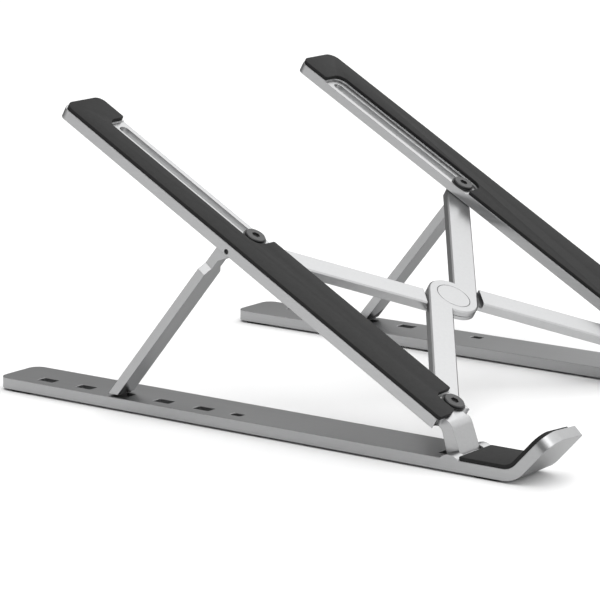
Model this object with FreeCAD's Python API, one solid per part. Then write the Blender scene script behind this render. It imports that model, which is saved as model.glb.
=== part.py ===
import FreeCAD, Part
import math
import os
from FreeCAD import Vector

# Folding laptop stand: two base rails with raised front hooks, two tilting support
# arms, two props that stand in slots of the rails, and a scissor of two Z-shaped
# cross bars that lets the stand close sideways.
# X runs across the stand, +Y points to its raised back, +Z is up.
# "station" is a distance along a rail from its back end, towards the hook.

# base rails
stand_width = 174.7
rail_width = 22.66
rail_thickness = 4.3
rail_back_corner = 4.5
rail_tip_corner = 6.5
foot_height = 0.9
foot_inset = 0.8
foot_pocket = 0.6
back_foot_station = 4.0
front_foot_station = 219.6
foot_length = 12.4

# hook at the front end of each rail, as the path of its middle line
hook_start = 233.3
hook_bend_radius = 9.65
hook_angle = 47.0
hook_ramp = 18.0
hook_bare = 1.7
hook_slant = 3.0

# prop slots in the rails
slot_first = 20.0
slot_pitch = 19.1
slot_count = 5
slot_length = 7.6
slot_width = 4.5
slot_from_edge = 6.75
slot_depth = 2.4
last_slot_station = 112.2
last_slot_length = 4.9
last_slot_width = 3.4
prop_slot_index = 2

# hinge between rail and arm
hinge_station = 211.0
hinge_height = 3.45
lug_radius = 5.4
lug_height = 1.65
outer_lug = 5.2
inner_lug = 4.5
knuckle_radius = 2.5
knuckle_side_gap = 0.2
hinge_pin_radius = 1.25
running_clearance = 0.05
hinge_pin_wall = 1.2
hinge_pin_recess = 0.4
pocket_behind = 8.0
pocket_ahead = 3.4

# support arms, measured from the hinge with the arm lying flat
arm_tilt = 29.3
arm_inset = 1.3
arm_width = 21.0
arm_thickness = 4.1
arm_top = 10.1
arm_start = 12.2
arm_end = 208.7
arm_corner = 3.2
arm_ear = 1.0
notch_radius = 3.0
notch_depth = 1.2
channel_wall = 2.1
channel_web = 1.6
ledge_depth = 0.4
ledge_side_gap = 1.45
ledge_lower_gap = 1.35
ledge_upper_gap = 0.85
neck_front_foot = -0.3
neck_front_top = 8.7
neck_back_foot = 5.0
neck_back_top = 11.0

# soft pads
pad_thickness = 1.5
pad_edge = 0.1
rail_pad_inner_inset = 1.5
rail_pad_gap = 0.1
pad_tab_gap = 0.3
pad_top_corner = 4.6

# scissor cross bars
pivot_from_edge = 4.2
pivot_station = 17.3
slide_station = 119.2
bar_width = 10.0
bar_thickness = 3.8
bar_gap = 0.3
bar_chamfer = 0.6
folded_bar_gap = 0.7
lap_gap = 0.8
upper_lap = 2.2
lap_washer = 0.2

# screws, bushes and washers of the scissor
screw_radius = 1.5
head_radius = 4.0
head_height = 1.0
socket_across_flats = 2.8
socket_depth = 0.75
washer_radius = 4.55
washer_thickness = 0.35
thrust_washer_radius = 4.0
bush_radius = 2.0
slide_clearance = 0.1
slot_spare = 0.6
washer_play = 0.05

# hub rivet
hub_cap_radius = 6.7
hub_cap_gap = 0.2
hub_cap_thickness = 0.9
hub_rivet_radius = 2.5
hub_tail_radius = 4.2
hub_tail_thickness = 0.6

# props that hold the arms up
prop_pin_station = 118.2
prop_pin_depth = 2.85
prop_pin_radius = 1.0
prop_pin_recess = 0.7
prop_angle = 50.75
prop_width = 10.0
prop_thickness = 3.5
prop_pin_offset = 1.65
prop_eye_radius = 2.3
tongue_width = 5.4
tongue_length = 11.5
bevel_length = 3.0
prop_foot_lift = 0.8
tip_length = 3.4
tip_side_gap = 0.25
tip_depth = 1.5
tip_plug = 2.4
tip_plug_width = 4.6
tip_plug_thickness = 1.8
tip_wedge_rise = 5.6
tip_wedge_width = 5.2
tip_wedge_depth = 1.2
tip_wedge_inset = 0.5
sole_inset = 1.5
sole_thickness = 0.5

# places worked out from the sizes above
half_width = stand_width / 2.0
ramp_slope = math.radians(hook_angle)
tip_skew = math.atan2(hook_slant, rail_width)
tip_loss = rail_tip_corner * math.sin(tip_skew) / math.tan((math.pi / 2.0 + tip_skew) / 2.0)
rail_length = (hook_start + (hook_ramp - tip_loss) * math.cos(ramp_slope)
               + (hook_bend_radius + rail_thickness / 2.0) * math.sin(ramp_slope))
rail_bottom = foot_height
rail_top = foot_height + rail_thickness
rail_outer = -half_width
rail_inner = rail_outer + rail_width
arm_outer = rail_outer + arm_inset
arm_inner = arm_outer + arm_width
arm_bottom = arm_top - arm_thickness
ledge_edge = arm_inner - pivot_from_edge - washer_radius - ledge_side_gap
ledge_top = arm_top - ledge_depth
ledge_start = slide_station - washer_radius - ledge_lower_gap
knuckle_outer = rail_outer + outer_lug + knuckle_side_gap
knuckle_inner = rail_inner - inner_lug - knuckle_side_gap
pivot_x = arm_inner - pivot_from_edge
half_spread = -pivot_x
pin_rise = slide_station - pivot_station
half_reach = math.hypot(half_spread, pin_rise / 2.0)
bar_offset = (bar_width + folded_bar_gap) / 2.0
bar_angle = math.degrees(math.atan2(pin_rise / 2.0, half_spread)
                         + math.asin(bar_offset / half_reach))
half_bar = math.sqrt(half_reach ** 2 - bar_offset ** 2)
closed_station = pivot_station + 2.0 * half_bar
ledge_end = closed_station + washer_radius + ledge_upper_gap
hub_station = (pivot_station + slide_station) / 2.0
hub_radius = bar_offset + bar_width / 2.0
lap_half_length = hub_radius * max(1.0, 1.0 / math.tan(math.radians(bar_angle))) + lap_gap
bar_top = arm_bottom - bar_gap
bar_bottom = bar_top - bar_thickness
lap_top = bar_top - upper_lap
slot_half = bush_radius + slide_clearance
prop_pin_height = arm_top - prop_pin_depth
prop_foot_z = rail_top + prop_foot_lift
tongue_outer = arm_outer + (prop_width - tongue_width) / 2.0
tongue_inner = tongue_outer + tongue_width
channel_outer = arm_outer + channel_wall
channel_inner = tongue_inner + (tongue_outer - channel_outer)


def y_at(station):
    """Place along Y of a station on the rail."""
    return rail_length / 2.0 - station


def rounded_wire(corners, place):
    """Closed outline through (u, v, radius) corners, each rounded by its radius."""
    edges = []
    ends = []
    count = len(corners)
    for index in range(count):
        u, v, radius = corners[index]
        before = corners[index - 1]
        after = corners[(index + 1) % count]
        corner = Vector(u, v, 0)
        towards_before = (Vector(before[0], before[1], 0) - corner).normalize()
        towards_after = (Vector(after[0], after[1], 0) - corner).normalize()
        if radius <= 0:
            ends.append((corner, corner))
            continue
        half = towards_before.getAngle(towards_after) / 2.0
        reach = radius / math.tan(half)
        start = corner + towards_before * reach
        stop = corner + towards_after * reach
        bisector = (towards_before + towards_after).normalize()
        middle = corner + bisector * (radius / math.sin(half) - radius)
        edges.append((index, Part.Arc(place(start), place(middle), place(stop)).toShape()))
        ends.append((start, stop))
    arcs = dict(edges)
    ordered = []
    for index in range(count):
        if index in arcs:
            ordered.append(arcs[index])
        start = ends[index][1]
        stop = ends[(index + 1) % count][0]
        if (stop - start).Length > 1e-6:
            ordered.append(Part.makeLine(place(start), place(stop)))
    return Part.Wire(ordered)


def plan_prism(corners, low, high):
    """Outline in X and Y, extruded from height low to height high."""
    wire = rounded_wire(corners, lambda p: Vector(p.x, p.y, low))
    return Part.Face(wire).extrude(Vector(0, 0, high - low))


def side_prism(corners, low, high):
    """Outline in Y and Z, extruded across X from low to high."""
    wire = rounded_wire(corners, lambda p: Vector(low, p.x, p.y))
    return Part.Face(wire).extrude(Vector(high - low, 0, 0))


def block(low, high):
    size = [high[i] - low[i] for i in range(3)]
    return Part.makeBox(size[0], size[1], size[2], Vector(*low))


def rectangle(x0, x1, y0, y1, radius=0.0):
    return [(x0, y0, radius), (x0, y1, radius), (x1, y1, radius), (x1, y0, radius)]


def cylinder_x(radius, x0, x1, y, z):
    return Part.makeCylinder(radius, x1 - x0, Vector(x0, y, z), Vector(1, 0, 0))


def cylinder_z(radius, z0, z1, x, y):
    return Part.makeCylinder(radius, z1 - z0, Vector(x, y, z0))


def place_on_arm(shape):
    """Turn a piece drawn on the flat arm up to its tilt and set it on the hinge."""
    placed = shape.copy()
    placed.rotate(Vector(0, 0, 0), Vector(1, 0, 0), arm_tilt)
    placed.translate(Vector(0, y_at(hinge_station), hinge_height))
    return placed


def mirrored(shape):
    return shape.mirror(Vector(0, 0, 0), Vector(1, 0, 0))


# ---- rail and what is fixed to it ----

def hook_path(offset, start, run):
    """Edges of a line parallel to the rail's middle line, offset upwards."""
    middle_z = rail_bottom + rail_thickness / 2.0

    def turned(centre, radius, angle):
        return Vector(centre.x + radius * math.sin(angle),
                      centre.y - radius * math.cos(angle), 0)

    first = Vector(start, middle_z + offset, 0)
    bend_in = Vector(hook_start, middle_z + offset, 0)
    centre = Vector(hook_start, middle_z + hook_bend_radius, 0)
    inner = hook_bend_radius - offset
    bend_out = turned(centre, inner, ramp_slope)
    ramp_end = bend_out + Vector(math.cos(ramp_slope), math.sin(ramp_slope), 0) * run
    return [
        (first, None, bend_in),
        (bend_in, turned(centre, inner, ramp_slope / 2.0), bend_out),
        (bend_out, None, ramp_end),
    ]


def hook_strip(low, high, start, run, x0, x1):
    """Strip between two lines parallel to the rail's middle line."""
    def place(point):
        return Vector(x0, y_at(point.x), point.y)

    def edge(piece):
        first, middle, last = piece
        if middle is None:
            return Part.makeLine(place(first), place(last))
        return Part.Arc(place(first), place(middle), place(last)).toShape()

    lower = hook_path(low, start, run)
    upper = hook_path(high, start, run)
    edges = [edge(piece) for piece in lower]
    edges.append(Part.makeLine(place(lower[-1][2]), place(upper[-1][2])))
    edges += [edge(piece) for piece in reversed(upper)]
    edges.append(Part.makeLine(place(upper[0][0]), place(lower[0][0])))
    wire = Part.Wire(Part.__sortEdges__(edges))
    return Part.Face(wire).extrude(Vector(x1 - x0, 0, 0))


def trim_strip(strip, x0, x1, back, back_corner, run, tip_corner):
    """Round the flat back end in plan and the tip in the plane of the ramp."""
    middle = y_at(hook_start)
    far = hook_start + 100.0
    flat = plan_prism([(x0, y_at(back), back_corner), (x0, y_at(far), 0.0),
                       (x1, y_at(far), 0.0), (x1, y_at(back), back_corner)], -5.0, 60.0)
    # outline drawn flat from the start of the bend, then laid along the ramp
    foot = hook_path(0.0, hook_start - 1.0, run)[2][0]
    ramp = plan_prism([(x0, 60.0, 0.0), (x0, -run, tip_corner),
                       (x1, hook_slant - run, 1.0), (x1, 60.0, 0.0)], -60.0, 60.0)
    ramp.rotate(Vector(0, 0, 0), Vector(1, 0, 0), -hook_angle)
    ramp.translate(Vector(0, y_at(foot.x), foot.y))
    behind = block((x0 - 1, middle - 1, -60), (x1 + 1, y_at(0) + 1, 60))
    return strip.common(flat).common(ramp.fuse(behind))


def slot_stations():
    places = [(slot_first + slot_pitch * index, slot_length, slot_width)
              for index in range(slot_count)]
    places.append((last_slot_station, last_slot_length, last_slot_width))
    return places


def foot_shape(station, low, high):
    x0 = rail_outer + foot_inset
    x1 = rail_inner - foot_inset
    corners = rectangle(x0, x1, y_at(station + foot_length), y_at(station), 2.5)
    return plan_prism(corners, low, high)


def make_rail():
    half = rail_thickness / 2.0
    strip = hook_strip(-half, half, 0.0, hook_ramp, rail_outer, rail_inner)
    rail = trim_strip(strip, rail_outer, rail_inner, 0.0, rail_back_corner,
                      hook_ramp, rail_tip_corner)
    hinge_y = y_at(hinge_station)
    lugs = [(rail_outer, rail_outer + outer_lug), (rail_inner - inner_lug, rail_inner)]
    for x0, x1 in lugs:
        lug = cylinder_x(lug_radius, x0, x1, hinge_y, rail_top + lug_height - lug_radius)
        keep = block((x0 - 1, hinge_y - 9, rail_bottom), (x1 + 1, hinge_y + 9, 20))
        rail = rail.fuse(lug.common(keep))
    pocket = block((rail_outer + outer_lug, hinge_y - pocket_ahead, -1),
                   (rail_inner - inner_lug, hinge_y + pocket_behind, rail_top + 1))
    rail = rail.cut(pocket)
    # blind bore, open at the inner side only
    bore = cylinder_x(hinge_pin_radius, rail_outer + hinge_pin_wall, rail_inner + 1,
                      hinge_y, hinge_height)
    rail = rail.cut(bore)
    slot_x = rail_outer + slot_from_edge
    for station, length, width in slot_stations():
        corners = rectangle(slot_x - width / 2.0, slot_x + width / 2.0,
                            y_at(station + length / 2.0), y_at(station - length / 2.0), 0.5)
        rail = rail.cut(plan_prism(corners, rail_top - slot_depth, rail_top + 1))
    for station in (back_foot_station, front_foot_station):
        rail = rail.cut(foot_shape(station, -1, rail_bottom + foot_pocket))
    return rail.removeSplitter()


def make_rail_pad():
    half = rail_thickness / 2.0
    below = lug_radius - lug_height
    back = hinge_station + math.sqrt(lug_radius ** 2 - below ** 2) + rail_pad_gap
    x0 = rail_outer + pad_edge
    x1 = rail_inner - rail_pad_inner_inset
    run = hook_ramp - hook_bare
    strip = hook_strip(half, half + pad_thickness, back, run, x0, x1)
    return trim_strip(strip, x0, x1, back, 0.8, run, rail_tip_corner - hook_bare)


def make_foot(station):
    return foot_shape(station, 0.0, rail_bottom + foot_pocket)


def make_hinge_pin():
    return cylinder_x(hinge_pin_radius, rail_outer + hinge_pin_wall,
                      rail_inner - hinge_pin_recess, y_at(hinge_station), hinge_height)


# ---- arm and what is fixed to it, drawn flat from the hinge ----

def arm_body():
    corners = [
        (arm_outer, arm_start, 0.0),
        (arm_outer, arm_end, arm_corner),
        (arm_inner, arm_end, arm_corner),
        (arm_inner, arm_start - arm_ear, 0.0),
        (knuckle_inner, arm_start, 0.0),
    ]
    return plan_prism(corners, arm_bottom, arm_top)


def arm_neck():
    """Curved neck that carries the arm down to the hinge knuckle."""
    foot_rise = math.sqrt(knuckle_radius ** 2 - neck_front_foot ** 2) - 0.02
    profile = [
        (neck_front_foot, foot_rise, 0.0),
        (neck_front_top, arm_top, 5.0),
        (arm_start + 5.7, arm_top, 0.0),
        (arm_start + 5.7, arm_bottom, 0.0),
        (neck_back_top, arm_bottom, 3.0),
        (neck_back_foot, -0.3, 1.5),
        (1.8, -1.66, 0.0),
    ]
    neck = side_prism(profile, knuckle_outer, knuckle_inner)
    knuckle = cylinder_x(knuckle_radius, knuckle_outer, knuckle_inner, 0, 0)
    return neck.fuse(knuckle)


def make_arm():
    arm = arm_body().fuse(arm_neck())
    # hollow ends of the side walls beside the neck
    for x0, x1 in ((arm_outer, knuckle_outer), (knuckle_inner, arm_inner)):
        notch = cylinder_z(notch_radius, arm_bottom - 1, arm_top + 1,
                           (x0 + x1) / 2.0, arm_start + notch_depth - notch_radius)
        gap = block((x0, arm_start - 9, arm_bottom - 1), (x1, arm_start + 9, arm_top + 1))
        arm = arm.cut(notch.common(gap))
    # channel for the prop, hidden by the pad where it opens upwards
    channel = block((channel_outer, arm_start + 12, arm_bottom - 1),
                    (channel_inner, arm_end - 6, arm_top - channel_web))
    window = block((channel_outer, prop_pin_station - 4.5, arm_bottom),
                   (channel_inner, prop_pin_station + 7.0, arm_top + 1))
    arm = arm.cut(channel).cut(window)
    pin_hole = cylinder_x(prop_pin_radius, arm_outer - 1, channel_inner + 3,
                          prop_pin_station, prop_pin_height)
    arm = arm.cut(pin_hole)
    # lowered ledge and slot that guide the sliding screw
    ledge = [
        (ledge_edge, ledge_start, 4.5),
        (ledge_edge, ledge_end, 4.0),
        (arm_inner + 5, ledge_end, 0.0),
        (arm_inner + 5, ledge_start, 0.0),
    ]
    arm = arm.cut(plan_prism(ledge, ledge_top, arm_top + 1))
    slot = rectangle(pivot_x - slot_half, pivot_x + slot_half,
                     slide_station - slot_half, closed_station + slot_half + slot_spare,
                     slot_half - 0.01)
    arm = arm.cut(plan_prism(slot, arm_bottom - 1, arm_top + 1))
    # seat and bore of the fixed pivot screw
    seat = [
        (ledge_edge + 0.2, arm_start - 2, 0.0),
        (ledge_edge + 0.2, pivot_station + 5.2, 2.5),
        (arm_inner + 5, pivot_station + 5.2, 0.0),
        (arm_inner + 5, arm_start - 2, 0.0),
    ]
    arm = arm.cut(plan_prism(seat, ledge_top, arm_top + 1))
    bush_bore = cylinder_z(bush_radius, arm_bottom - 1, arm_top, pivot_x, pivot_station)
    arm = arm.cut(bush_bore)
    knuckle_bore = cylinder_x(hinge_pin_radius + running_clearance, knuckle_outer - 1,
                              knuckle_inner + 1, 0, 0)
    return arm.cut(knuckle_bore).removeSplitter()


def make_arm_pad():
    outer = arm_outer + pad_edge
    inner = arm_inner - pad_edge
    end = arm_end - pad_edge
    tab = ledge_end + pad_tab_gap
    corners = [
        (outer, arm_start - 0.4, 0.8),
        (outer, end, pad_top_corner),
        (inner, end, arm_corner + 0.3),
        (inner, tab, 1.2),
        (ledge_edge, tab, 4.2),
        (ledge_edge, ledge_start, 4.6),
        (inner, ledge_start, 0.8),
        (inner, pivot_station + 5.4, 0.8),
        (ledge_edge, pivot_station + 5.0, 2.5),
        (ledge_edge, arm_start + 0.9, 0.8),
        (ledge_edge - 4.0, arm_start - 0.4, 0.8),
    ]
    return plan_prism(corners, arm_top, arm_top + pad_thickness)


def make_pivot_bush():
    outer = cylinder_z(bush_radius, arm_bottom, ledge_top, pivot_x, pivot_station)
    hole = cylinder_z(screw_radius + running_clearance, arm_bottom - 1, arm_top,
                      pivot_x, pivot_station)
    return outer.cut(hole)


def make_prop_pin():
    return cylinder_x(prop_pin_radius, arm_outer + prop_pin_recess, channel_inner + 1.6,
                      prop_pin_station, prop_pin_height)


# ---- screws and washers of the scissor, drawn flat from the hinge ----

def make_screw(station):
    seat = ledge_top + washer_play + washer_thickness
    head = cylinder_z(head_radius, seat, seat + head_height, pivot_x, station)
    rim = [edge for edge in head.Edges
           if abs(edge.BoundBox.ZMin - seat - head_height) < 1e-6
           and edge.BoundBox.ZLength < 1e-6]
    head = head.makeChamfer(0.3, rim)
    shank = cylinder_z(screw_radius, bar_bottom + 0.3, seat, pivot_x, station)
    corner = socket_across_flats / math.sqrt(3.0)
    points = [Vector(pivot_x + corner * math.cos(math.radians(60 * i)),
                     station + corner * math.sin(math.radians(60 * i)),
                     seat + head_height - socket_depth) for i in range(7)]
    socket = Part.Face(Part.makePolygon(points)).extrude(Vector(0, 0, socket_depth + 1))
    return head.fuse(shank).cut(socket).removeSplitter()


def ring(outer_radius, inner_radius, low, high, x, y):
    outer = cylinder_z(outer_radius, low, high, x, y)
    return outer.cut(cylinder_z(inner_radius, low - 1, high + 1, x, y))


def make_head_washer(station):
    low = ledge_top + washer_play
    return ring(washer_radius, screw_radius, low, low + washer_thickness, pivot_x, station)


def make_thrust_washer(station):
    return ring(thrust_washer_radius, screw_radius, bar_top, arm_bottom - washer_play,
                pivot_x, station)


def make_slide_bush():
    return ring(bush_radius, screw_radius, arm_bottom - washer_play, ledge_top + washer_play,
                pivot_x, slide_station)


# ---- cross bars, drawn flat from the hinge ----

def bar_arm():
    """One half of a cross bar with its round end, along +X, full thickness."""
    strip = block((0, -bar_offset - bar_width / 2.0, bar_bottom),
                  (half_bar, -bar_offset + bar_width / 2.0, bar_top))
    end = cylinder_z(bar_width / 2.0, bar_bottom, bar_top, half_bar, -bar_offset)
    return strip.fuse(end)


def top_rim(shape):
    level = shape.BoundBox.ZMax
    return [edge for edge in shape.Edges
            if edge.BoundBox.ZLength < 1e-6 and abs(edge.BoundBox.ZMin - level) < 1e-6]


def bar_blank():
    half = bar_arm()
    other = half.copy()
    other.rotate(Vector(0, 0, 0), Vector(0, 0, 1), 180)
    hub = cylinder_z(hub_radius, bar_bottom, bar_top, 0, 0)
    blank = half.fuse(other).fuse(hub).removeSplitter()
    blank = blank.makeChamfer(bar_chamfer, top_rim(blank))
    for side in (1, -1):
        hole = cylinder_z(screw_radius, bar_bottom - 1, bar_top + 1,
                          side * half_bar, -side * bar_offset)
        blank = blank.cut(hole)
    return blank


def lap_box(low, high):
    return block((-lap_half_length, -2 * hub_radius, low),
                 (lap_half_length, 2 * hub_radius, high))


def turn_bar(shape, mirror):
    bar = shape.copy()
    if mirror:
        bar = mirrored(bar)
        bar.rotate(Vector(0, 0, 0), Vector(0, 0, 1), -bar_angle)
    else:
        bar.rotate(Vector(0, 0, 0), Vector(0, 0, 1), bar_angle)
    bar.translate(Vector(0, hub_station, 0))
    return bar


def make_upper_bar():
    bar = bar_blank().cut(lap_box(bar_bottom - 1, lap_top))
    bar = bar.cut(cylinder_z(hub_cap_radius + hub_cap_gap, bar_top - hub_cap_thickness,
                             bar_top + 1, 0, 0))
    bar = bar.cut(cylinder_z(hub_rivet_radius, bar_bottom - 1, bar_top + 1, 0, 0))
    return turn_bar(bar, False)


def make_lower_bar():
    bar = bar_blank().cut(lap_box(lap_top - lap_washer, bar_top + 1))
    tail_top = bar_bottom + hub_tail_thickness
    bar = bar.cut(cylinder_z(hub_tail_radius + 0.1, bar_bottom - 1, tail_top + 0.05, 0, 0))
    bar = bar.cut(cylinder_z(hub_rivet_radius + running_clearance, bar_bottom - 1,
                             bar_top + 1, 0, 0))
    return turn_bar(bar, True)


def make_hub_cap():
    return cylinder_z(hub_cap_radius, bar_top - hub_cap_thickness, bar_top, 0, hub_station)


def make_hub_rivet():
    shank = cylinder_z(hub_rivet_radius, bar_bottom, bar_top - hub_cap_thickness,
                       0, hub_station)
    tail = cylinder_z(hub_tail_radius, bar_bottom, bar_bottom + hub_tail_thickness,
                      0, hub_station)
    return shank.fuse(tail)


def make_lap_washer():
    return ring(hub_radius - 2.0, hub_rivet_radius + 0.1, lap_top - lap_washer, lap_top,
                0, hub_station)


# ---- prop and its tip, drawn along +Y from the pin ----

def place_prop(shape):
    placed = shape.copy()
    placed.rotate(Vector(0, 0, 0), Vector(1, 0, 0), -prop_angle)
    tilt = math.radians(arm_tilt)
    y = prop_pin_station * math.cos(tilt) - prop_pin_height * math.sin(tilt)
    z = prop_pin_station * math.sin(tilt) + prop_pin_height * math.cos(tilt)
    placed.translate(Vector(0, y_at(hinge_station) + y, hinge_height + z))
    return placed


def prop_profile(start):
    front = prop_pin_offset
    back = prop_pin_offset + prop_thickness
    return [(start, front, 0.0), (start, back, 0.0), (200.0, back, 0.0), (200.0, front, 0.0)]


def prop_reach(across):
    """Distance from the pin to the prop's foot, along a line set off to the back."""
    tilt = math.radians(arm_tilt)
    drop = (hinge_height + prop_pin_station * math.sin(tilt)
            + prop_pin_height * math.cos(tilt) - prop_foot_z)
    slope = math.radians(prop_angle)
    return (drop + across * math.cos(slope)) / math.sin(slope)


def prop_plug(recess):
    """Plug and front wedge of the soft tip, set into the lower end of the prop."""
    front = prop_pin_offset
    middle = front + prop_thickness / 2.0
    reach = prop_reach(middle)
    x0 = arm_outer + (prop_width - tip_plug_width) / 2.0
    plug = block((x0, reach - tip_plug, middle - tip_plug_thickness / 2.0),
                 (x0 + tip_plug_width, reach + 2, middle + tip_plug_thickness / 2.0))
    foot = prop_reach(front)
    outer = arm_outer + tip_wedge_inset
    inner = outer + tip_wedge_width
    wedge = plan_prism([(outer, foot - tip_wedge_rise, 0.0), (outer, foot + 4, 0.0),
                        (inner, foot + 4, 0.0), (inner, foot - 0.3, 0.0)],
                       front + recess, front + tip_wedge_depth)
    return place_prop(plug.fuse(wedge))


def above_foot(shape):
    keep = block((-200, -200, prop_foot_z), (200, 200, 200))
    return shape.common(keep)


def make_prop():
    x0 = arm_outer
    x1 = arm_outer + prop_width
    bevel_start = tongue_length
    body_start = tongue_length + bevel_length
    front = prop_pin_offset
    back = prop_pin_offset + prop_thickness
    # plan of the prop: narrow tongue, bevelled shoulders, full-width bar
    plan = [
        (tongue_outer, -4.0, 0.0),
        (tongue_outer, bevel_start, 0.0),
        (x0, body_start, 0.0),
        (x0, 200.0, 0.0),
        (x1, 200.0, 0.0),
        (x1, body_start, 0.0),
        (tongue_inner, bevel_start, 0.0),
        (tongue_inner, -4.0, 0.0),
    ]
    bar = plan_prism(plan, -10, 10).common(side_prism(prop_profile(1.5), x0 - 1, x1 + 1))
    link = side_prism([(0.0, -prop_eye_radius, 0.0), (7.5, front, 0.0), (7.5, back, 0.0),
                       (1.5, back, 0.8), (-0.8, 2.1, 0.0)], tongue_outer, tongue_inner)
    eye = cylinder_x(prop_eye_radius, tongue_outer, tongue_inner, 0, 0)
    bore = cylinder_x(prop_pin_radius + running_clearance, tongue_outer - 1,
                      tongue_inner + 1, 0, 0)
    prop = bar.fuse(link).fuse(eye).cut(bore)
    return above_foot(place_prop(prop)).cut(prop_plug(0.0)).removeSplitter()


def make_prop_tip():
    """Soft peg that stands against the back wall of a rail slot."""
    slot_back = slot_first + slot_pitch * prop_slot_index - slot_length / 2.0
    slot_x = rail_outer + slot_from_edge
    x0 = slot_x - slot_width / 2.0 + tip_side_gap
    x1 = slot_x + slot_width / 2.0 - tip_side_gap
    peg = block((x0, y_at(slot_back + 0.1 + tip_length), rail_top - tip_depth),
                (x1, y_at(slot_back + 0.1), prop_foot_z))
    sole = block((arm_outer + sole_inset, y_at(slot_back + 4.4), prop_foot_z - sole_thickness),
                 (arm_outer + prop_width - sole_inset, y_at(slot_back + 0.2), prop_foot_z))
    plug = above_foot(prop_plug(0.15))
    return peg.fuse(sole).fuse(plug).removeSplitter()


os.makedirs("parts", exist_ok=True)


def export(name, shape):
    shape.exportStep("parts/" + name + ".step")


side_pieces = {
    "base_rail": make_rail(),
    "rail_pad": make_rail_pad(),
    "back_foot": make_foot(back_foot_station),
    "front_foot": make_foot(front_foot_station),
    "hinge_pin": make_hinge_pin(),
    "support_arm": place_on_arm(make_arm()),
    "arm_pad": place_on_arm(make_arm_pad()),
    "pivot_bush": place_on_arm(make_pivot_bush()),
    "prop_pin": place_on_arm(make_prop_pin()),
    "prop": make_prop(),
    "prop_tip": make_prop_tip(),
    "pivot_screw": place_on_arm(make_screw(pivot_station)),
    "pivot_head_washer": place_on_arm(make_head_washer(pivot_station)),
    "pivot_thrust_washer": place_on_arm(make_thrust_washer(pivot_station)),
    "slide_screw": place_on_arm(make_screw(slide_station)),
    "slide_head_washer": place_on_arm(make_head_washer(slide_station)),
    "slide_thrust_washer": place_on_arm(make_thrust_washer(slide_station)),
    "slide_bush": place_on_arm(make_slide_bush()),
}

for name, shape in side_pieces.items():
    export("left_" + name, shape)
    export("right_" + name, mirrored(shape))

middle_pieces = {
    "upper_cross_bar": make_upper_bar(),
    "lower_cross_bar": make_lower_bar(),
    "hub_cap": make_hub_cap(),
    "hub_rivet": make_hub_rivet(),
    "hub_lap_washer": make_lap_washer(),
}

for name, shape in middle_pieces.items():
    export(name, place_on_arm(shape))
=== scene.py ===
import bpy
import bmesh
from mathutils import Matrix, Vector


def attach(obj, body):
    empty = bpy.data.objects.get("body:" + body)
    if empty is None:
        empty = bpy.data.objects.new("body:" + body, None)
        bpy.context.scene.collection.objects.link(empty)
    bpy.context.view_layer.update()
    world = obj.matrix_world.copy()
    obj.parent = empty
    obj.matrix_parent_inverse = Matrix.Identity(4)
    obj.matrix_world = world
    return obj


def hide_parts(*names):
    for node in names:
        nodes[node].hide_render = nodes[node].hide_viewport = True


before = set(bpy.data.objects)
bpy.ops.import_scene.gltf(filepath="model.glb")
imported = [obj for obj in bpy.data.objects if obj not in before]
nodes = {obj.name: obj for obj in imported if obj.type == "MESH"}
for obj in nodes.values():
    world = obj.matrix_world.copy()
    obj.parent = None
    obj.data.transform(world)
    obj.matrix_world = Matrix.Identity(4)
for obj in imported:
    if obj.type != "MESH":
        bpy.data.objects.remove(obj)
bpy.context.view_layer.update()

scene = bpy.context.scene
print("frame loaded with", len(nodes), "pieces")


# camera at three-quarter view, low and far away
viewpoint = {
    "place": (-1.01103, -0.70074, 0.30045),
    "looking": (0.78675, 0.58053, -0.20977),
    "lens": 195.6,
    "sensor": 36.0,
    "nearest": 0.05,
    "farthest": 40.0,
}

cameraData = bpy.data.cameras.new("viewCamera")
cameraData.lens = viewpoint["lens"]
cameraData.sensor_width = viewpoint["sensor"]
cameraData.clip_start = viewpoint["nearest"]
cameraData.clip_end = viewpoint["farthest"]
camera = bpy.data.objects.new("viewCamera", cameraData)
camera.location = viewpoint["place"]
camera.rotation_euler = Vector(viewpoint["looking"]).to_track_quat("-Z", "Y").to_euler()
scene.collection.objects.link(camera)
scene.camera = camera
print("camera set")


# a node socket that takes part in plain arithmetic
class Wire:
    def __init__(self, graph, socket):
        self.graph = graph
        self.socket = socket

    def join(self, operation, first, second):
        made = self.graph.add("ShaderNodeMath", {"operation": operation}, {0: first, 1: second})
        return made.out(0)

    def __add__(self, other):
        return self.join("ADD", self, other)

    def __radd__(self, other):
        return self.join("ADD", other, self)

    def __sub__(self, other):
        return self.join("SUBTRACT", self, other)

    def __rsub__(self, other):
        return self.join("SUBTRACT", other, self)

    def __mul__(self, other):
        return self.join("MULTIPLY", self, other)

    def __rmul__(self, other):
        return self.join("MULTIPLY", other, self)


# one added node, with its outputs handed out as wires
class Part:
    def __init__(self, graph, node):
        self.graph = graph
        self.node = node

    def out(self, which=0):
        return Wire(self.graph, self.node.outputs[which])


bevelSamples = 6  # rays that each shaded point sends out to find an edge near it


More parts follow.
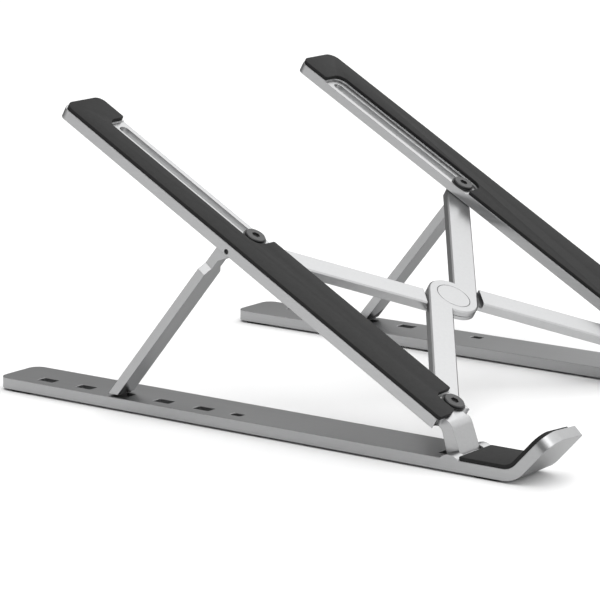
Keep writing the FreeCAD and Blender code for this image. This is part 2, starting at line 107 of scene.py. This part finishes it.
# the node tree of one material or world
class Graph:
    def __init__(self, owner):
        owner.use_nodes = True
        self.tree = owner.node_tree
        self.tree.nodes.clear()

    def add(self, kind, settings=None, values=None):
        node = self.tree.nodes.new(kind)
        for name, value in (settings or {}).items():
            if name == "stops":
                ramp = node.color_ramp
                while len(ramp.elements) > 1:
                    ramp.elements.remove(ramp.elements[-1])
                for index, (place, shade) in enumerate(value):
                    stop = ramp.elements[0] if index == 0 else ramp.elements.new(place)
                    stop.position = place
                    stop.color = (shade, shade, shade, 1)
            else:
                setattr(node, name, value)
        for name, value in (values or {}).items():
            if isinstance(value, Wire):
                self.tree.links.new(value.socket, node.inputs[name])
            else:
                node.inputs[name].default_value = value
        return Part(self, node)

    def noise(self, place, scale, detail, rough):
        return self.add("ShaderNodeTexNoise", {"noise_dimensions": "3D"},
                        {"Vector": place, "Scale": scale, "Detail": detail, "Roughness": rough}).out(0)

    def stretched(self, place, scale):
        return self.add("ShaderNodeVectorMath", {"operation": "MULTIPLY"}, {0: place, 1: scale}).out(0)

    def blendColour(self, factor, first, second):
        return self.add("ShaderNodeMix", {"data_type": "RGBA", "blend_type": "MIX"},
                        {0: factor, 6: (*first, 1), 7: (*second, 1)}).out(2)

    # dark where the tone is at or under the low limit, light at or over the high one
    def toned(self, tone, limits, look):
        factor = self.add("ShaderNodeMapRange", {"clamp": True},
                          {"Value": tone, "From Min": limits[0], "From Max": limits[1],
                           "To Min": 0.0, "To Max": 1.0}).out(0)
        return self.blendColour(factor, look["dark"], look["light"])

    def softEdge(self, radius):
        return self.add("ShaderNodeBevel", {"samples": bevelSamples}, {"Radius": radius}).out(0)

    def bump(self, height, strength, distance, normal=None):
        values = {"Height": height, "Strength": strength, "Distance": distance}
        if normal:
            values["Normal"] = normal
        return self.add("ShaderNodeBump", {}, values).out(0)


def newMaterial(name):
    material = bpy.data.materials.new(name)
    return material, Graph(material)


# satin anodised aluminium with a fine drawn grain along the part
metalLooks = {
    "railMetal": {"dark": (0.345, 0.347, 0.35), "light": (0.395, 0.397, 0.40), "grazing": 0.76,
                  "roughness": 0.32, "grain": (900.0, 22.0, 900.0), "edge": 0.00035},
    "armMetal": {"dark": (0.40, 0.402, 0.405), "light": (0.455, 0.457, 0.46), "grazing": 0.45,
                 "roughness": 0.31, "grain": (900.0, 22.0, 900.0), "edge": 0.00035},
    "propMetal": {"dark": (0.375, 0.377, 0.38), "light": (0.425, 0.427, 0.43), "grazing": 0.32,
                  "roughness": 0.30, "grain": (900.0, 60.0, 60.0), "edge": 0.0003},
    "barMetal": {"dark": (0.415, 0.417, 0.42), "light": (0.455, 0.457, 0.46), "grazing": 0.30,
                 "roughness": 0.29, "grain": (700.0, 700.0, 700.0), "edge": 0.0003},
}

# what the four anodised finishes share (a noise is given as scale, detail and roughness)
anodisedGrain = {
    "drawn": (1.0, 3.0, 0.6),
    "blast": (2600.0, 2.0, 0.55),
    "cloud": (28.0, 3.0, 0.5),
    "shares": (0.45, 0.25, 0.30),  # drawn, blast and cloud in the colour
    "contrast": (0.32, 0.68),
    "sheen": (0.05, 0.06, 0.05),  # taken off the roughness, then added by drawn and cloud
    "relief": (0.6, 0.4),  # drawn and blast in the bump
    "bump": 0.10,
    "depth": 0.00006,
}


def anodised(name):
    look = metalLooks[name]
    shares = anodisedGrain["shares"]
    sheen = anodisedGrain["sheen"]
    relief = anodisedGrain["relief"]
    material, graph = newMaterial(name)
    place = graph.add("ShaderNodeTexCoord").out("Object")
    drawn = graph.noise(graph.stretched(place, look["grain"]), *anodisedGrain["drawn"])
    blast = graph.noise(place, *anodisedGrain["blast"])
    cloud = graph.noise(place, *anodisedGrain["cloud"])
    tone = drawn * shares[0] + blast * shares[1] + cloud * shares[2]
    colour = graph.toned(tone, anodisedGrain["contrast"], look)
    roughness = look["roughness"] - sheen[0] + drawn * sheen[1] + cloud * sheen[2]
    softEdge = graph.softEdge(look["edge"])
    normal = graph.bump(drawn * relief[0] + blast * relief[1], anodisedGrain["bump"],
                        anodisedGrain["depth"], softEdge)
    shader = graph.add("ShaderNodeBsdfPrincipled", {},
                       {"Base Color": colour, "Metallic": 1.0, "Roughness": roughness,
                        "Specular Tint": (look["grazing"],) * 3 + (1,), "Normal": normal})
    graph.add("ShaderNodeOutputMaterial", {}, {"Surface": shader.out(0)})
    return material


# ground steel and black-finished steel
steelLooks = {
    "pinSteel": {"dark": (0.30, 0.30, 0.31), "light": (0.42, 0.42, 0.43),
                 "metallic": 1.0, "roughness": 0.30},
    "screwBlack": {"dark": (0.008, 0.008, 0.008), "light": (0.013, 0.013, 0.014),
                   "metallic": 0.0, "roughness": 0.46},
    "washerBlack": {"dark": (0.010, 0.010, 0.010), "light": (0.018, 0.018, 0.018),
                    "metallic": 0.0, "roughness": 0.5},
}

steelGrain = {
    "fine": (1800.0, 3.0, 0.6),
    "patch": (160.0, 2.0, 0.5),
    "shares": (0.6, 0.4),  # fine and patch in the colour
    "contrast": (0.35, 0.65),
    "sheen": (0.05, 0.1),  # taken off the roughness, then added by patch
    "edge": 0.00015,
    "bump": 0.12,
    "depth": 0.00003,
}


def steel(name):
    look = steelLooks[name]
    shares = steelGrain["shares"]
    sheen = steelGrain["sheen"]
    material, graph = newMaterial(name)
    place = graph.add("ShaderNodeTexCoord").out("Object")
    fine = graph.noise(place, *steelGrain["fine"])
    patch = graph.noise(place, *steelGrain["patch"])
    tone = fine * shares[0] + patch * shares[1]
    colour = graph.toned(tone, steelGrain["contrast"], look)
    softEdge = graph.softEdge(steelGrain["edge"])
    normal = graph.bump(fine, steelGrain["bump"], steelGrain["depth"], softEdge)
    shader = graph.add("ShaderNodeBsdfPrincipled", {},
                       {"Base Color": colour, "Metallic": look["metallic"],
                        "Roughness": look["roughness"] - sheen[0] + patch * sheen[1],
                        "Normal": normal})
    graph.add("ShaderNodeOutputMaterial", {}, {"Surface": shader.out(0)})
    return material


# matt silicone: top sheets, feet and prop tips
rubberLooks = {
    "padRubber": {"dark": (0.011, 0.011, 0.011), "light": (0.017, 0.017, 0.017),
                  "roughness": 0.66, "pebble": 1500.0, "bump": 0.20, "shine": 0.17},
    "footRubber": {"dark": (0.012, 0.012, 0.012), "light": (0.020, 0.020, 0.020),
                   "roughness": 0.70, "pebble": 1200.0, "bump": 0.20, "shine": 0.3},
    "tipRubber": {"dark": (0.050, 0.050, 0.050), "light": (0.075, 0.075, 0.075),
                  "roughness": 0.60, "pebble": 1200.0, "bump": 0.15, "shine": 0.3},
}

rubberGrain = {
    "dust": (420.0, 4.0, 0.65),
    "cloud": (35.0, 2.0, 0.5),
    "shares": (0.5, 0.5),  # dust and cloud in the colour
    "contrast": (0.35, 0.65),
    "sheen": (0.06, 0.12),  # taken off the roughness, then added by cloud
    "relief": (0.7, 0.3),  # pebbles and dust in the bump
    "depth": 0.00008,
}


def rubber(name):
    look = rubberLooks[name]
    shares = rubberGrain["shares"]
    sheen = rubberGrain["sheen"]
    relief = rubberGrain["relief"]
    material, graph = newMaterial(name)
    place = graph.add("ShaderNodeTexCoord").out("Object")
    pebble = graph.add("ShaderNodeTexVoronoi", {"feature": "F1"},
                       {"Vector": place, "Scale": look["pebble"]}).out(0)
    dust = graph.noise(place, *rubberGrain["dust"])
    cloud = graph.noise(place, *rubberGrain["cloud"])
    tone = dust * shares[0] + cloud * shares[1]
    colour = graph.toned(tone, rubberGrain["contrast"], look)
    height = (1 - pebble) * relief[0] + dust * relief[1]
    shader = graph.add("ShaderNodeBsdfPrincipled", {},
                       {"Base Color": colour,
                        "Roughness": look["roughness"] - sheen[0] + cloud * sheen[1],
                        "Specular IOR Level": look["shine"],
                        "Normal": graph.bump(height, look["bump"], rubberGrain["depth"])})
    graph.add("ShaderNodeOutputMaterial", {}, {"Surface": shader.out(0)})
    return material


# moulded washers and bushes
plasticLooks = {
    "washerPlastic": {"dark": (0.05, 0.05, 0.05), "light": (0.08, 0.08, 0.08), "roughness": 0.5},
    "bushPlastic": {"dark": (0.55, 0.55, 0.53), "light": (0.68, 0.68, 0.66), "roughness": 0.45},
}

plasticGrain = {
    "fine": (900.0, 3.0, 0.6),
    "contrast": (0.35, 0.65),
    "sheen": (0.05, 0.1),  # taken off the roughness, then added by fine
    "bump": 0.1,
    "depth": 0.00004,
}


def plastic(name):
    look = plasticLooks[name]
    sheen = plasticGrain["sheen"]
    material, graph = newMaterial(name)
    place = graph.add("ShaderNodeTexCoord").out("Object")
    fine = graph.noise(place, *plasticGrain["fine"])
    colour = graph.toned(fine, plasticGrain["contrast"], look)
    shader = graph.add("ShaderNodeBsdfPrincipled", {},
                       {"Base Color": colour,
                        "Roughness": look["roughness"] - sheen[0] + fine * sheen[1],
                        "Normal": graph.bump(fine, plasticGrain["bump"], plasticGrain["depth"])})
    graph.add("ShaderNodeOutputMaterial", {}, {"Surface": shader.out(0)})
    return material


finishes = {name: anodised(name) for name in metalLooks}
finishes.update({name: steel(name) for name in steelLooks})
finishes.update({name: rubber(name) for name in rubberLooks})
finishes.update({name: plastic(name) for name in plasticLooks})

pieceFinish = {
    "base_rail": "railMetal",
    "support_arm": "armMetal",
    "prop": "propMetal",
    "hinge_pin": "pinSteel",
    "prop_pin": "screwBlack",
    "pivot_screw": "screwBlack",
    "slide_screw": "screwBlack",
    "pivot_head_washer": "washerBlack",
    "slide_head_washer": "washerBlack",
    "pivot_thrust_washer": "washerPlastic",
    "slide_thrust_washer": "washerPlastic",
    "pivot_bush": "bushPlastic",
    "slide_bush": "bushPlastic",
    "upper_cross_bar": "barMetal",
    "lower_cross_bar": "barMetal",
    "hub_cap": "barMetal",
    "hub_rivet": "pinSteel",
    "hub_lap_washer": "washerPlastic",
}


def dress(piece, finish):
    piece.data.materials.clear()
    piece.data.materials.append(finishes[finish])


for name, node in nodes.items():
    short = name.replace("left_", "").replace("right_", "")
    if short in pieceFinish:
        dress(node, pieceFinish[short])
print("metal, steel and plastic finished")


# soft sheets and feet, with rounded moulded edges
softParts = {
    "arm_pad": {"finish": "padRubber", "slot": "pad_rubber", "edge": 0.00025, "body": "arm"},
    "rail_pad": {"finish": "padRubber", "slot": "pad_rubber", "edge": 0.00025, "body": "rail"},
    "back_foot": {"finish": "footRubber", "slot": "foot_rubber", "edge": 0.0003, "body": "rail"},
    "front_foot": {"finish": "footRubber", "slot": "foot_rubber", "edge": 0.0003, "body": "rail"},
    "prop_tip": {"finish": "tipRubber", "slot": "tip_rubber", "edge": 0.00015, "body": "prop_set"},
}
mouldedEdge = {
    "weld": 0.000002,  # points closer than this become one
    "flat": 0.01,  # faces that bend less than this are joined, in radians
    "sharp": 0.6,  # edges that bend more than this are rounded, in radians
    "steps": 3,
}


def softPiece(side, kind):
    look = softParts[kind]
    source = nodes[side + "_" + kind]
    shape = bmesh.new()
    shape.from_mesh(source.data)
    bmesh.ops.remove_doubles(shape, verts=shape.verts, dist=mouldedEdge["weld"])
    bmesh.ops.dissolve_limit(shape, angle_limit=mouldedEdge["flat"], verts=shape.verts,
                             edges=shape.edges)
    mesh = bpy.data.meshes.new(side + "_soft_" + kind)
    shape.to_mesh(mesh)
    shape.free()
    piece = bpy.data.objects.new(side + "_soft_" + kind, mesh)
    scene.collection.objects.link(piece)
    mesh.materials.append(finishes[look["finish"]])
    for face in mesh.polygons:
        face.use_smooth = True
    rounding = piece.modifiers.new("roundedEdge", "BEVEL")
    rounding.width = look["edge"]
    rounding.segments = mouldedEdge["steps"]
    rounding.limit_method = "ANGLE"
    rounding.angle_limit = mouldedEdge["sharp"]
    rounding.harden_normals = True
    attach(piece, side + "_" + look["body"])
    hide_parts(side + "_" + kind)


for side in ("left", "right"):
    for kind in softParts:
        softPiece(side, kind)
print("soft pads, feet and tips made")


# pale floor
floorLook = {"size": 10.0, "colour": (0.86, 0.86, 0.86), "roughness": 0.9, "shine": 0.1}

floorShape = bmesh.new()
bmesh.ops.create_grid(floorShape, x_segments=1, y_segments=1, size=floorLook["size"] / 2)
floorMesh = bpy.data.meshes.new("floor")
floorShape.to_mesh(floorMesh)
floorShape.free()
floorPiece = bpy.data.objects.new("floor", floorMesh)
scene.collection.objects.link(floorPiece)
floorMaterial, graph = newMaterial("floorPaper")
shader = graph.add("ShaderNodeBsdfPrincipled", {},
                   {"Base Color": (*floorLook["colour"], 1), "Roughness": floorLook["roughness"],
                    "Specular IOR Level": floorLook["shine"]})
graph.add("ShaderNodeOutputMaterial", {}, {"Surface": shader.out(0)})
floorMesh.materials.append(floorMaterial)

# soft sky: dim near the horizon and towards the far end, bright overhead
sky = {
    "stops": [(0.0, 0.14), (0.52, 0.17), (0.62, 0.28), (0.74, 0.58), (0.85, 1.0), (1.0, 1.1)],
    "brightest": (0.25, -0.35, 0.90),
    "strength": 1.5,
}
world = bpy.data.worlds.new("studio")
scene.world = world
graph = Graph(world)
direction = graph.add("ShaderNodeTexCoord").out("Generated")
height = graph.add("ShaderNodeVectorMath", {"operation": "DOT_PRODUCT"},
                   {0: direction, 1: sky["brightest"]}).out("Value")
ramp = graph.add("ShaderNodeValToRGB", {"stops": sky["stops"]}, {0: height * 0.5 + 0.5})
background = graph.add("ShaderNodeBackground", {}, {0: ramp.out(0), 1: sky["strength"]})
graph.add("ShaderNodeOutputWorld", {}, {"Surface": background.out(0)})

# two soft lamps: one above the near left side, one lower at the far right
lamps = {
    "keyLamp": {"place": (-0.9, -0.5, 1.5), "aim": (0.0, 0.0, 0.05), "size": 1.2, "power": 9.0},
    "farLamp": {"place": (1.05, 0.17, 0.81), "aim": (0.0, 0.0, 0.05), "size": 0.9, "power": 2.2},
}
for name, lamp in lamps.items():
    data = bpy.data.lights.new(name, "AREA")
    data.shape = "SQUARE"
    data.size = lamp["size"]
    data.energy = lamp["power"]
    light = bpy.data.objects.new(name, data)
    light.location = lamp["place"]
    aim = Vector(lamp["aim"]) - Vector(lamp["place"])
    light.rotation_euler = aim.to_track_quat("-Z", "Y").to_euler()
    scene.collection.objects.link(light)
scene.view_settings.view_transform = "Standard"
print("studio lit")

bpy.context.view_layer.update()
